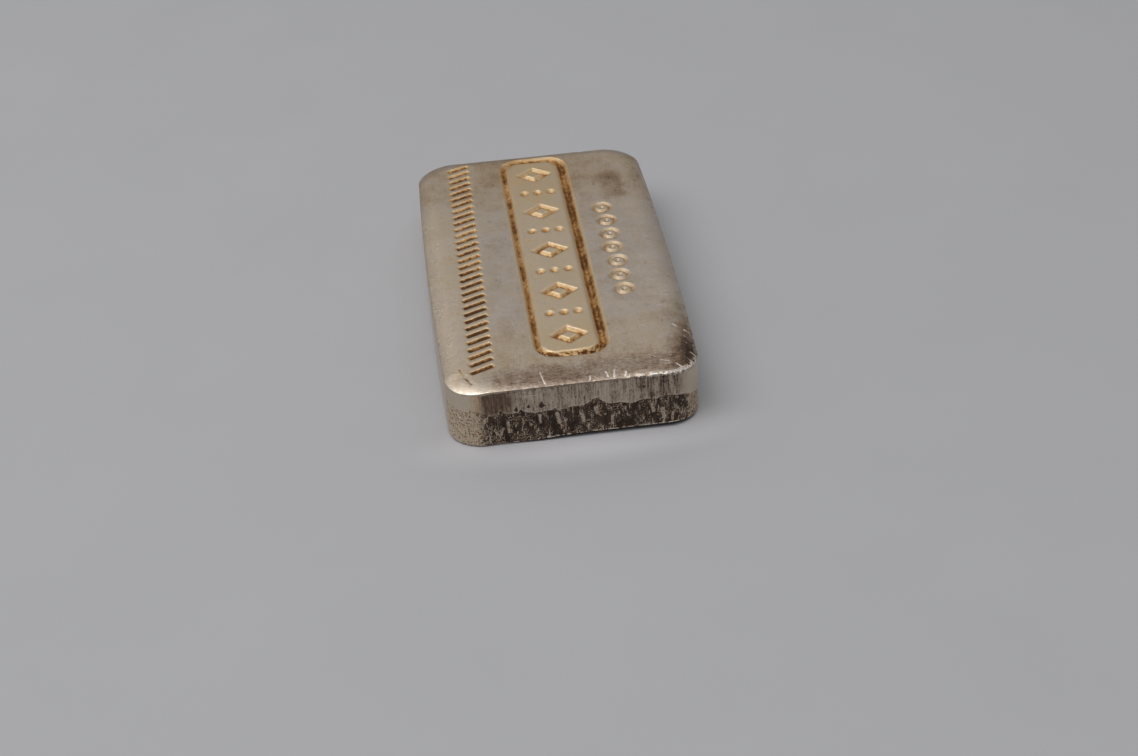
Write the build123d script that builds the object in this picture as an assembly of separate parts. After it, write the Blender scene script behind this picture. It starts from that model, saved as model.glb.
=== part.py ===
from build123d import *
from math import cos, radians, sin, tan
import os

# A small cast and struck silver bar, one solid. Millimetres. X runs along the bar, Y across it, Z is up,
# and the origin is on the underside, below the middle of the bar.

# The blank
LENGTH = 70.5             # end to end
WIDTH = 39.0              # across the two ends, where the long sides begin to swell
THICKNESS = 10.7          # underside to the flat of the top
SIDE_SWELL = 0.7          # how far each long side bows out at mid-length
CORNER_RADIUS = 5.2       # the four upright corners, seen from above
SHOULDER_RADIUS = 7.0     # the top rolls over towards the walls with this radius
SIDE_OVERHANG = 3.7       # the roll is aimed this far outside the long walls, and meets them at an edge
END_OVERHANG = 4.64       # the same at the two sheared ends, where less of the roll is left
ROLL_CORNER = 10.5        # corner radius of the rolled top, before the walls trimmed it
RIM_RADIUS = 0.35         # wear on the edge between roll and wall
FOOT_RADIUS = 0.5         # the rounded bottom edge

# The underside turns up at the near end, as if the shear had dragged it
TURN_UP_HEIGHT = 0.8      # along the -Y part of that end
TURN_UP_REACH = 3.8       # along X, from the end to where the underside is level
TURN_UP_START = 13.0      # Y on the near end where it begins
TURN_UP_FULL = -1.4       # Y on the near end where it has its full height

# The struck frame: a groove with round corners, set off the middle and struck deeper on its -Y side
FRAME_LENGTH = 60.5       # along X, between the middles of the groove
FRAME_WIDTH = 10.3        # along Y, between the middles of the groove
FRAME_CORNER = 2.9        # corner radius, to the middle of the groove
FRAME_X = 2.7             # middle of the frame from the middle of the bar
FRAME_Y = -0.6
FRAME_DEPTH = 0.75        # along the frame's middle line
FRAME_TILT = 2.0          # degrees that the die leaned over, about X
GROOVE_FLOOR = 0.35       # flat at the bottom of the groove

# Marks struck inside the frame: hollow lozenges with columns of pearls between them
LOZENGE_COUNT = 5
MARK_PITCH = 6.3          # along X, from a lozenge to the next column of pearls
LOZENGE_LENGTH = 5.0      # along X
LOZENGE_WIDTH = 6.4       # along Y
LOZENGE_LINE = 1.15       # width of its struck line at the surface
LOZENGE_DEPTH = 0.5
PEARLS_IN_COLUMN = 3
PEARL_PITCH = 2.3         # along Y
PEARL_RADIUS = 0.75       # at the surface
PEARL_DEPTH = 0.5

# A cable border along the +Y side: slanting strokes in a row
BORDER_START = -29.5      # X of the first stroke
BORDER_LENGTH = 62.0      # from the first stroke to the last
BORDER_Y = 13.0           # middle of the row
BORDER_SKEW = 1.1         # degrees that the row leans away from the bar's own line
STROKE_PITCH = 2.0
STROKE_LENGTH = 4.0
STROKE_WIDTH = 0.95       # at the surface
STROKE_SLANT = 24.0       # degrees off square to the row
STROKE_DEPTH = 0.4

# Ring-and-dot punches along the -Y side, struck by hand one after another
PUNCH_COUNT = 7
PUNCH_PITCH = 4.3
PUNCH_X = 1.6             # middle of the row
PUNCH_Y = -11.1
PUNCH_WANDER = 0.16       # how far a punch strays from the row
RING_RADIUS = 1.3         # to the middle of the ring's line
RING_LINE = 0.8           # width of that line at the surface
RING_DEPTH = 0.45
DOT_RADIUS = 0.38
DOT_DEPTH = 0.3

STRIKE_WALL = 38.0        # slope of the struck walls, in degrees from upright
PROUD = 0.3               # cutters stand this far above the surface they cut

NODE = "silver_bar"


def plan(end_grow=0.0, side_grow=0.0, corner=CORNER_RADIUS):
    """Outline of the bar from above: straight ends, bowed long sides and round corners."""
    half_length, half_width = LENGTH / 2 + end_grow, WIDTH / 2 + side_grow
    swell = half_width + SIDE_SWELL
    outline = Polyline((-half_length, half_width), (-half_length, -half_width))
    outline += ThreePointArc((-half_length, -half_width), (0, -swell), (half_length, -half_width))
    outline += Line((half_length, -half_width), (half_length, half_width))
    outline += ThreePointArc((half_length, half_width), (0, swell), (-half_length, half_width))
    face = make_face(outline)
    return fillet(face.vertices(), corner)


def rim_height(overhang):
    """Height at which the roll meets a wall that trims it by this overhang."""
    roll = SHOULDER_RADIUS - overhang
    return THICKNESS - SHOULDER_RADIUS + (SHOULDER_RADIUS**2 - roll**2) ** 0.5


def turned_up():
    """The wedge of air under the near end, below two slopes: one is even along Y, the other runs out to +Y."""
    near = -LENGTH / 2
    start = Vector(near, TURN_UP_START, 0)
    full = Vector(near, TURN_UP_FULL, TURN_UP_HEIGHT)
    level = Vector(near + TURN_UP_REACH, TURN_UP_FULL, 0)
    even = Plane(origin=full, x_dir=level - full, z_dir=(level - full).cross(Vector(0, 1, 0)))
    running_out = Plane(origin=start, x_dir=full - start, z_dir=(full - start).cross(level - start))
    under = Box(3 * WIDTH, 3 * WIDTH, THICKNESS, align=(Align.CENTER, Align.CENTER, Align.MAX))
    return (even * under) & (running_out * under)


def blank():
    """The bar before it was struck: upright walls, trimming a larger pillow whose top edge is rolled over."""
    walls = extrude(plan(), THICKNESS)
    pillow = extrude(plan(END_OVERHANG, SIDE_OVERHANG, ROLL_CORNER), THICKNESS)
    pillow = fillet(pillow.faces().sort_by(Axis.Z)[-1].edges(), SHOULDER_RADIUS)
    bar = walls & pillow
    lowest, highest = sorted([rim_height(SIDE_OVERHANG), rim_height(END_OVERHANG)])
    rim = bar.edges().filter_by_position(Axis.Z, lowest - RIM_RADIUS, highest + RIM_RADIUS / 2)
    bar = fillet(rim, RIM_RADIUS)
    bar = fillet(bar.faces().sort_by(Axis.Z)[0].edges(), FOOT_RADIUS)
    return bar - turned_up()


def on_top(x, y, turn=0.0):
    """A place on the flat of the top, turned about the vertical by an angle in degrees."""
    return Location((x, y, THICKNESS), (0, 0, turn))


def sunk(outline, depth):
    """A pit with sloping walls under an outline drawn on the top, standing proud above it by the same slope."""
    pit = extrude(outline, -depth, taper=STRIKE_WALL)
    collar = extrude(outline, PROUD, taper=-STRIKE_WALL)
    return pit + collar


def standing(outline, depth):
    """The ground left between struck lines: it widens as it goes down from its outline on the top."""
    root = extrude(outline, -depth, taper=-STRIKE_WALL)
    cap = extrude(outline, PROUD, taper=STRIKE_WALL)
    return root + cap


def groove_section(depth, floor):
    """Section of a struck groove about its middle line: a flat floor and sloping walls that end proud."""
    top = floor / 2 + (depth + PROUD) * tan(radians(STRIKE_WALL))
    corners = [(-floor / 2, -depth), (floor / 2, -depth), (top, PROUD), (-top, PROUD)]
    return make_face(Polyline(*corners, close=True))


def frame():
    """The groove of the frame, carried along a path with round corners in the plane of the leaning die."""
    lean = radians(FRAME_TILT)
    die = Plane((FRAME_X, FRAME_Y, THICKNESS), x_dir=(1, 0, 0), z_dir=(0, -sin(lean), cos(lean)))
    path = (die * RectangleRounded(FRAME_LENGTH, FRAME_WIDTH, FRAME_CORNER)).wire()
    start = Plane(path @ 0, x_dir=die.z_dir.cross(path % 0), z_dir=path % 0)
    return sweep(start * groove_section(FRAME_DEPTH, GROOVE_FLOOR), path)


def lozenge():
    """One hollow lozenge: a struck line round a standing core of the same shape."""
    half_length, half_width = LOZENGE_LENGTH / 2, LOZENGE_WIDTH / 2
    slope = (half_length**2 + half_width**2) ** 0.5
    inset = LOZENGE_LINE * slope
    outer = [(half_length, 0), (0, half_width), (-half_length, 0), (0, -half_width)]
    shrink = 1 - inset / (half_length * half_width)
    inner = [(x * shrink, y * shrink) for x, y in outer]
    line = make_face(Polyline(*outer, close=True))
    core = make_face(Polyline(*inner, close=True))
    return sunk(line, LOZENGE_DEPTH) - standing(core, LOZENGE_DEPTH)


def ring_and_dot():
    """A ring punch: a vee turned about the punch's own axis, with a round pit in its middle."""
    reach = RING_LINE / 2 * (1 + PROUD / RING_DEPTH)
    vee = make_face(Polyline((RING_RADIUS, -RING_DEPTH), (RING_RADIUS + reach, PROUD),
                             (RING_RADIUS - reach, PROUD), close=True))
    return revolve(Plane.XZ * vee, Axis.Z) + sunk(Circle(DOT_RADIUS), DOT_DEPTH)


def framed_marks():
    """Lozenges and columns of pearls, turn about, centred in the frame."""
    marks = []
    places = 2 * LOZENGE_COUNT - 1
    for place in range(places):
        x = FRAME_X + (place - (places - 1) / 2) * MARK_PITCH
        if place % 2 == 0:
            marks.append(on_top(x, FRAME_Y) * lozenge())
            continue
        for pearl in range(PEARLS_IN_COLUMN):
            y = FRAME_Y + (pearl - (PEARLS_IN_COLUMN - 1) / 2) * PEARL_PITCH
            marks.append(on_top(x, y) * sunk(Circle(PEARL_RADIUS), PEARL_DEPTH))
    return marks


def cable_border():
    """Slanting strokes, evenly spaced on a line that leans a little from the bar's."""
    stroke = sunk(Rectangle(STROKE_WIDTH, STROKE_LENGTH), STROKE_DEPTH)
    lean = tan(radians(BORDER_SKEW))
    marks = []
    for place in range(int(BORDER_LENGTH / STROKE_PITCH) + 1):
        x = BORDER_START + place * STROKE_PITCH
        middle = BORDER_START + BORDER_LENGTH / 2
        marks.append(on_top(x, BORDER_Y - (x - middle) * lean, STROKE_SLANT) * stroke)
    return marks


def punched_row():
    """Ring-and-dot punches in a row that wanders a little from side to side."""
    marks = []
    for place in range(PUNCH_COUNT):
        x = PUNCH_X + (place - (PUNCH_COUNT - 1) / 2) * PUNCH_PITCH
        y = PUNCH_Y + PUNCH_WANDER * sin(2.4 * place)
        marks.append(on_top(x, y) * ring_and_dot())
    return marks


def silver_bar():
    """The blank with everything that was struck into its top."""
    bar = blank() - frame()
    for mark in framed_marks() + cable_border() + punched_row():
        bar -= mark
    return bar


os.makedirs("parts", exist_ok=True)
export_step(silver_bar(), f"parts/{NODE}.step")
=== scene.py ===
from math import cos, pi, radians, sin, tan

import bpy
import numpy as np
from mathutils import Matrix, Vector


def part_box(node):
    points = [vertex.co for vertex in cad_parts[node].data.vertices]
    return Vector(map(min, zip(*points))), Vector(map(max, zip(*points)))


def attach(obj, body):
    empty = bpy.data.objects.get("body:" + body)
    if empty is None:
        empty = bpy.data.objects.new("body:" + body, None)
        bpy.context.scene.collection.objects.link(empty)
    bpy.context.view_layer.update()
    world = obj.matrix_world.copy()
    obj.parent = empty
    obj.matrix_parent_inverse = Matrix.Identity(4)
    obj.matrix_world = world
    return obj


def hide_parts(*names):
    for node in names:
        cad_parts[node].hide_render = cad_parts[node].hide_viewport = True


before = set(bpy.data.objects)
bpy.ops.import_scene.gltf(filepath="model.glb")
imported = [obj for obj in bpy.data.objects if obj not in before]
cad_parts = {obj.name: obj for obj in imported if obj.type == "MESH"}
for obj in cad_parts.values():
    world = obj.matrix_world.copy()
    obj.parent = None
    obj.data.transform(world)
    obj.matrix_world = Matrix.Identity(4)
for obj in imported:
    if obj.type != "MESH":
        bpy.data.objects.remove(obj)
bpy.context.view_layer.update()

# Sizes are in millimetres until a mesh is written. X runs along the bar, away from the camera.
MM = 0.001
NODE = "silver_bar"
low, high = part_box(NODE)
HALF_LENGTH = (high.x - low.x) / MM / 2
THICKNESS = (high.z - low.z) / MM
SIDE_SWELL = 0.7  # the long sides bow out by this at mid-length
HALF_WIDTH = (high.y - low.y) / MM / 2 - SIDE_SWELL
CORNER_RADIUS = 5.2

# The rolled top edge, trimmed by the walls, and the foot
SHOULDER_RADIUS = 7.0
SIDE_OVERHANG, END_OVERHANG, ROLL_CORNER = 3.7, 4.64, 10.5
RIM_RADIUS, FOOT_RADIUS, SHARP_FOOT = 0.35, 0.5, 0.1
TURN_UP_HEIGHT, TURN_UP_REACH, TURN_UP_START, TURN_UP_FULL = 0.8, 3.8, 13.0, -1.4

# The struck frame and the marks, as in the solid
FRAME_LENGTH, FRAME_WIDTH, FRAME_CORNER = 60.5, 10.3, 2.9
FRAME_X, FRAME_Y = 2.7, -0.6
FRAME_DEPTH, FRAME_TILT, GROOVE_FLOOR = 0.75, 2.0, 0.35
MARK_PITCH, MARK_PLACES = 6.3, 9
LOZENGE_LENGTH, LOZENGE_WIDTH, LOZENGE_LINE, LOZENGE_DEPTH = 5.0, 6.4, 1.15, 0.5
PEARLS_IN_COLUMN, PEARL_PITCH, PEARL_RADIUS, PEARL_DEPTH = 3, 2.3, 0.75, 0.5
BORDER_START, BORDER_LENGTH, BORDER_Y, BORDER_SKEW = -29.5, 62.0, 13.0, 1.1
STROKE_PITCH, STROKE_LENGTH, STROKE_WIDTH, STROKE_SLANT, STROKE_DEPTH = 2.0, 4.0, 0.95, 24.0, 0.4
PUNCH_COUNT, PUNCH_PITCH, PUNCH_X, PUNCH_Y = 7, 4.3, 1.6, -11.1
PUNCH_WANDER, WANDER_ANGLE = 0.16, 2.4  # how far a punch strays, by the sine of this angle x its place
RING_RADIUS, RING_LINE, RING_DEPTH, DOT_RADIUS, DOT_DEPTH = 1.3, 0.8, 0.45, 0.38, 0.3
STRIKE_WALL = tan(radians(38.0))

ORIGIN = (0, 0, 0)
TINY = 1e-9  # keeps a division from being by 0

# Grid of the mesh
LINES_ALONG, LINES_ACROSS = 322, 168
SHOULDER_RINGS, RIM_RINGS, WALL_RINGS, FOOT_RINGS, UNDER_RINGS = 8, 4, 25, 3, 5
FIRST_UNDER_RING = 0.89  # its size as a share of the foot's
MARKED_BANDS = [(BORDER_Y, -2.7, 2.7), (FRAME_Y, -6.4, -4.2), (FRAME_Y, -3.2, 3.2), (FRAME_Y, 4.3, 6.2),
                (PUNCH_Y, -1.9, 1.9)]

# Wear that has a place of its own. A dent: x and y of its middle, radius, depth. A gouge: x and y of its
# start, x and y of its end, width, depth
DENTS = [
    (-30.9, 17.6, 1.5, 0.07), (-27.2, 8.8, 1.8, 0.03), (6.4, 9.1, 0.6, 0.06), (26.1, 8.3, 0.7, 0.06),
    (-14.0, -15.2, 1.1, 0.03), (13.5, -16.0, 1.4, 0.03), (-31.2, -12.7, 0.5, 0.05), (24.0, -3.9, 0.5, 0.03),
]
GOUGES = [
    (-29.3, 17.0, -31.0, 16.5, 0.35, 0.08), (-31.0, 16.5, -33.0, 15.6, 0.4, 0.10),
    (-32.1, 5.0, -34.9, 4.6, 0.3, 0.05), (-22.9, -17.1, -24.0, -17.7, 0.3, 0.05),
    (-24.4, -18.3, -26.2, -19.3, 0.35, 0.06),
]

# The torn line across an end
TORN_HEIGHT = 5.85
TORN_WAVES = [(0.22, 0.5, 2.4), (0.14, 1.7, 0.4)]  # rise, angle per millimetre, angle in the middle
TORN_HUMP = (-3.1, 1.0, 1.3)  # middle, rise, reach
TORN_STEPS = [(13.0, 1.1, 2.0), (-16.0, -1.0, -2.5)]  # start, rise, run
TORN_TONGUES = (11.6, 8.4, 3.4)  # middles
TONGUE_RISE, TONGUE_REACH = 0.7, 0.35

# The camera, as fitted to the photograph: where it is aimed, how far from there it stands, and its angles
# in radians
AIM = (-19.44, -0.56, 0.0)
CAMERA_DISTANCE = 321.4
CAMERA_PITCH, CAMERA_YAW, CAMERA_ROLL = 0.6241, -0.0903, -0.0576
FOCAL_PIXELS, PHOTO_PIXELS_WIDE = 2000, 1138

FLOOR_REACH = 3000.0  # from the middle to each side


def spread(start, end, count, bands):
    """Places from start to end, three times as close inside the bands, by inverting a summed density."""
    fine = np.linspace(start, end, 4001)
    density = np.ones_like(fine)
    for low_end, high_end in bands:
        density += 2.0 * ((fine > low_end) & (fine < high_end))
    total = np.concatenate([[0], np.cumsum((density[1:] + density[:-1]) / 2)])
    return np.interp(np.linspace(0, total[-1], count), total, fine)


def rounded(x, y, half_length, half_width, radius):
    """A rectangle's points moved into one with round corners: in each corner square of side radius, a point
    at the larger offset m and smaller offset n goes to distance m from the corner's middle, at 45 degrees x
    n/m."""
    core_x, core_y = half_length - radius, half_width - radius
    p, q = np.abs(x) - core_x, np.abs(y) - core_y
    corner = (p > 0) & (q > 0)
    larger, smaller = np.maximum(p, q), np.minimum(p, q)
    angle = pi / 4 * smaller / np.where(corner, larger, 1)
    near, far = larger * np.cos(angle), larger * np.sin(angle)
    along = np.where(p >= q, near, far)
    across = np.where(p >= q, far, near)
    return (np.where(corner, np.sign(x) * (core_x + along), x),
            np.where(corner, np.sign(y) * (core_y + across), y))


def bowed(x, y):
    """Bows the long sides: y grows by its share of the half width x swell x (1 - (x / half length)^2)."""
    return y * (1 + SIDE_SWELL / HALF_WIDTH * (1 - (x / HALF_LENGTH) ** 2))


def noise(points, size, seed):
    """Smooth noise from -1 to 1: a seeded lattice with this spacing, blended by 3t^2 - 2t^3 each way."""
    n, off_zero = 32, 100.0
    lattice = np.random.default_rng(seed).uniform(-1, 1, (n, n, n))
    place = points / size + off_zero
    cell = np.floor(place).astype(int)
    t = place - cell
    t = t * t * (3 - 2 * t)
    total = np.zeros(len(points))
    for corner in range(8):
        step = np.array([corner & 1, corner >> 1 & 1, corner >> 2 & 1])
        weight = np.prod(np.where(step == 1, t, 1 - t), axis=1)
        i, j, k = ((cell + step) % n).T
        total += weight * lattice[i, j, k]
    return total


def uneven(points, depth, size, seed):
    """Depth that varies smoothly from 0 to twice the given depth, by noise with lumps of this size."""
    return depth * (1 + noise(points, size, seed))


def soft_step(value):
    """0 below 0, 1 above 1, and 3t^2 - 2t^3 between."""
    t = np.clip(value, 0, 1)
    return t * t * (3 - 2 * t)


def worn(depth, blur=0.05):
    """Depth with its edges worn round: half of (d + the root of d^2 + blur^2)."""
    return (depth + np.sqrt(depth * depth + blur * blur)) / 2


def pit(inset, depth):
    """Depth of a pit with sloping walls: distance inside its outline over the slope, down to its floor."""
    slope = inset / STRIKE_WALL
    return worn(depth - worn(depth - slope))


def frame_inset(x, y):
    """Distance inside the frame's groove: half its width less the distance from its middle line, a rectangle
    with round corners."""
    p = np.abs(x - FRAME_X) - FRAME_LENGTH / 2 + FRAME_CORNER
    q = np.abs(y - FRAME_Y) - FRAME_WIDTH / 2 + FRAME_CORNER
    off_line = np.hypot(np.maximum(p, 0), np.maximum(q, 0)) + np.minimum(np.maximum(p, q), 0) - FRAME_CORNER
    off_line = np.abs(off_line)
    depth = FRAME_DEPTH - (y - FRAME_Y) * tan(radians(FRAME_TILT))
    return GROOVE_FLOOR / 2 + depth * STRIKE_WALL - off_line, depth


def lozenge_inset(x, y):
    """Distance inside the nearest lozenge's line: 1 - |x|/a - |y|/b, as a length, is 0 on its outline."""
    last = MARK_PLACES // 2
    step = np.clip(np.round((x - FRAME_X) / MARK_PITCH / 2) * 2, -last, last)
    a, b = LOZENGE_LENGTH / 2, LOZENGE_WIDTH / 2
    inside = 1 - np.abs(x - FRAME_X - step * MARK_PITCH) / a - np.abs(y - FRAME_Y) / b
    inside = inside * a * b / np.hypot(a, b)
    return LOZENGE_LINE / 2 - np.abs(inside - LOZENGE_LINE / 2)


def pearl_inset(x, y):
    """Distance inside the nearest pearl: its radius less the distance from its middle."""
    last = MARK_PLACES // 2 - 1
    step = np.clip(np.round(((x - FRAME_X) / MARK_PITCH - 1) / 2) * 2 + 1, -last, last)
    row = np.clip(np.round((y - FRAME_Y) / PEARL_PITCH), -(PEARLS_IN_COLUMN // 2), PEARLS_IN_COLUMN // 2)
    return PEARL_RADIUS - np.hypot(x - FRAME_X - step * MARK_PITCH, y - FRAME_Y - row * PEARL_PITCH)


def stroke_inset(x, y):
    """Distance inside the nearest slanting stroke, a turned rectangle: x slides along the slant to find
    it."""
    lean, slant = tan(radians(BORDER_SKEW)), radians(STROKE_SLANT)
    y = y - BORDER_Y + (x - BORDER_START - BORDER_LENGTH / 2) * lean
    last = int(BORDER_LENGTH / STROKE_PITCH)
    step = np.clip(np.round((x - BORDER_START + y * tan(slant)) / STROKE_PITCH), 0, last)
    x = x - BORDER_START - step * STROKE_PITCH
    across, along = x * cos(slant) + y * sin(slant), y * cos(slant) - x * sin(slant)
    return np.minimum(STROKE_WIDTH / 2 - np.abs(across), STROKE_LENGTH / 2 - np.abs(along))


def punch_radius(x, y):
    """Distance from the middle of the nearest ring-and-dot punch."""
    half = (PUNCH_COUNT - 1) / 2
    step = np.clip(np.round((x - PUNCH_X) / PUNCH_PITCH), -half, half)
    wander = PUNCH_WANDER * np.sin(WANDER_ANGLE * (step + half))
    return np.hypot(x - PUNCH_X - step * PUNCH_PITCH, y - PUNCH_Y - wander)


def struck(x, y):
    """Depth of everything struck into the top, and the signed distance inside the nearest outline."""
    groove, groove_depth = frame_inset(x, y)
    lozenge, pearl, stroke = lozenge_inset(x, y), pearl_inset(x, y), stroke_inset(x, y)
    radius = punch_radius(x, y)
    ring, dot = RING_LINE / 2 - np.abs(radius - RING_RADIUS), DOT_RADIUS - radius
    ring_depth = worn(ring * RING_DEPTH / (RING_LINE / 2))
    depths = [pit(groove, groove_depth), pit(lozenge, LOZENGE_DEPTH), pit(stroke, STROKE_DEPTH), ring_depth,
              pit(pearl, PEARL_DEPTH), pit(dot, DOT_DEPTH)]
    insets = [groove, lozenge, stroke, ring, pearl, dot]
    return np.max(depths, axis=0), np.max(insets, axis=0)


def wall_distance(start, outward):
    """How far it is from points inside the bar's outline to its walls, going outward: to the nearer straight
    wall, or, where that lands in a corner square, to the corner's circle by the quadratic formula."""
    start, outward = np.abs(start), np.abs(outward)
    half = np.array([HALF_LENGTH, HALF_WIDTH])
    core = half - CORNER_RADIUS
    straight = np.min((half - start) / np.maximum(outward, TINY), axis=1)
    corner = np.all(start + outward * straight[:, None] > core, axis=1)
    off = start - core
    along = np.sum(off * outward, axis=1)
    round_way = np.sqrt(np.maximum(along**2 - np.sum(off**2, axis=1) + CORNER_RADIUS**2, 0)) - along
    return np.where(corner, round_way, straight)


def lift(x, y):
    """Height of the turned-up underside: the lower of two slopes that fall along X, of which one also runs
    out to +Y, and 0 past their foot."""
    across = (TURN_UP_START - y) / (TURN_UP_START - TURN_UP_FULL)
    return TURN_UP_HEIGHT * np.maximum(np.minimum(across, 1) - (x + HALF_LENGTH) / TURN_UP_REACH, 0)


def edge_sections(reach, foot):
    """The bar's section at each place round its edge, for a given reach from the flat of the top to the
    wall: how far out, how high and how steep the surface is, ring by ring. A shoulder arc, an arc for the
    worn rim, the upright wall, with its rings closer about the torn line and the foot, and an arc for the
    foot, which is smaller where the underside is turned up."""
    def rings(count, start=0.0):
        return np.linspace(start, 1, count + 1)[1:, None]

    meet = np.arcsin((reach - RIM_RADIUS) / (SHOULDER_RADIUS - RIM_RADIUS))
    rim_height = THICKNESS - SHOULDER_RADIUS + (SHOULDER_RADIUS - RIM_RADIUS) * np.cos(meet)
    a = rings(SHOULDER_RINGS) * meet
    shoulder = [SHOULDER_RADIUS * np.sin(a), THICKNESS - SHOULDER_RADIUS * (1 - np.cos(a)), a]
    b = meet + rings(RIM_RINGS) * (pi / 2 - meet)
    rim = [reach - RIM_RADIUS * (1 - np.sin(b)), rim_height + RIM_RADIUS * np.cos(b), b]
    foot_radius = np.maximum(FOOT_RADIUS - foot, SHARP_FOOT)
    down = spread(0, 1, WALL_RINGS + 1, [(0.35, 0.60), (0.93, 1.0)])[1:, None]
    z = rim_height + down * (foot + foot_radius - rim_height)
    wall = [reach + 0 * z, z, pi / 2 + 0 * z]
    c = pi / 2 + rings(FOOT_RINGS) * pi / 2
    sole = [reach - foot_radius * (1 - np.sin(c)), foot + foot_radius * (1 + np.cos(c)), c + 0 * reach]
    return np.concatenate([shoulder, rim, wall, sole], axis=1)


def bar_surface():
    """Points, outward directions, faces and distance from the rim of the whole bar. The flat of the top is a
    grid of x and y, with its lines closer across the marks. Its edge loop is carried out and down the
    sections to the walls, and the underside closes in rings that shrink to one point."""
    flat = np.array([HALF_LENGTH + END_OVERHANG, HALF_WIDTH + SIDE_OVERHANG]) - SHOULDER_RADIUS
    flat_corner = ROLL_CORNER - SHOULDER_RADIUS
    marked = [(middle + start, middle + end) for middle, start, end in MARKED_BANDS]
    xs = spread(-flat[0], flat[0], LINES_ALONG, [])
    ys = spread(-flat[1], flat[1], LINES_ACROSS, marked)
    x, y = [v.ravel() for v in np.meshgrid(xs, ys, indexing="ij")]
    to_rim = np.minimum(flat[0] - np.abs(x) + SHOULDER_RADIUS - END_OVERHANG,
                        flat[1] - np.abs(y) + SHOULDER_RADIUS - SIDE_OVERHANG)
    x, y = rounded(x, y, *flat, flat_corner)
    top = np.stack([x, y, np.full_like(x, THICKNESS)], 1)

    index = np.arange(len(x)).reshape(LINES_ALONG, LINES_ACROSS)
    quads = np.stack([index[:-1, :-1], index[1:, :-1], index[1:, 1:], index[:-1, 1:]], -1).reshape(-1, 4)
    loop = np.concatenate([index[:-1, 0], index[-1, :-1], index[:0:-1, -1], index[0, :0:-1]])

    edge = top[loop, :2]
    outward = (edge - np.clip(edge, flat_corner - flat, flat - flat_corner)) / flat_corner
    reach = wall_distance(edge, outward)
    core = np.array([HALF_LENGTH, HALF_WIDTH]) - CORNER_RADIUS
    at_wall = edge + outward * reach[:, None]
    square = (at_wall - np.clip(at_wall, -core, core)) / CORNER_RADIUS
    out, height, lean = edge_sections(reach, lift(*at_wall.T))
    plan = edge[None] + outward[None] * out[:, :, None]
    rings = np.concatenate([plan, height[:, :, None]], 2)
    facing = np.where((np.arange(len(rings)) < SHOULDER_RINGS)[:, None, None], outward[None], square[None])
    facing = np.concatenate([facing * np.sin(lean)[:, :, None], np.cos(lean)[:, :, None]], 2)
    rolled = SHOULDER_RINGS + RIM_RINGS
    from_rim = np.where((np.arange(len(rings)) < rolled)[:, None], out - reach, height[rolled - 1] - height)

    shrink = np.linspace(FIRST_UNDER_RING, 0, UNDER_RINGS + 1)[:-1, None, None]
    under = rings[-1][None] * np.concatenate([shrink, shrink, shrink * 0], 2)
    under[:, :, 2] = lift(under[:, :, 0], under[:, :, 1])
    points = np.concatenate([top, rings.reshape(-1, 3), under.reshape(-1, 3), [[0, 0, 0]]])
    below = under.shape[0] * under.shape[1] + 1
    normals = np.concatenate([np.tile([0.0, 0.0, 1.0], (len(top), 1)), facing.reshape(-1, 3),
                              np.tile([0.0, 0.0, -1.0], (below, 1))])
    rim = np.concatenate([-to_rim, from_rim.ravel(), np.full(below, THICKNESS)])
    points[:, 1] = bowed(points[:, 0], points[:, 1])

    around = len(loop)
    ring_index = len(top) + np.arange((len(rings) + len(under)) * around).reshape(-1, around)
    ring_index = np.concatenate([loop[None], ring_index])
    upper, lower = ring_index[:-1], ring_index[1:]
    sides = np.stack([upper, lower, np.roll(lower, -1, 1), np.roll(upper, -1, 1)], -1).reshape(-1, 4)
    last = ring_index[-1]
    cap = np.stack([np.full(around, len(points) - 1), np.roll(last, -1), last], -1)
    return points, normals, np.concatenate([quads, sides]), cap, rim


def below_torn_line(points):
    """How far a point is below the torn line round the bar: a level height with two sines, one hump as a
    bell curve, a smooth step up at one corner and down at the other, and small tongues as triangles, all by
    the place across, turned about for the far end."""
    x, y, z = points.T
    y = y * -np.sign(x)
    line = np.full_like(y, TORN_HEIGHT)
    for rise, pitch, start in TORN_WAVES:
        line += rise * np.sin(pitch * y + start)
    middle, rise, reach = TORN_HUMP
    line += rise * np.exp(-(((y - middle) / reach) ** 2))
    for start, rise, run in TORN_STEPS:
        line += rise * soft_step((y - start) / run)
    for tongue in TORN_TONGUES:
        line += TONGUE_RISE * np.maximum(1 - np.abs(y - tongue) / TONGUE_REACH, 0)
    return line - z


def dent_depth(points):
    """Depth of the dents: for each, its depth x (1 - (r / radius)^2)^2, and of the gouges: for each, its
    depth with the same fall-off by the distance from its line."""
    x, y = points[:, 0], points[:, 1]
    total = np.zeros(len(points))
    for middle_x, middle_y, radius, depth in DENTS:
        away = ((x - middle_x) ** 2 + (y - middle_y) ** 2) / radius**2
        total += depth * np.maximum(1 - away, 0) ** 2
    for start_x, start_y, end_x, end_y, width, depth in GOUGES:
        run = np.array([end_x - start_x, end_y - start_y])
        share = np.clip(((x - start_x) * run[0] + (y - start_y) * run[1]) / (run @ run), 0, 1)
        away = np.hypot(x - start_x - share * run[0], y - start_y - share * run[1]) / width
        total += depth * np.maximum(1 - away**2, 0) ** 2
    return total


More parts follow.
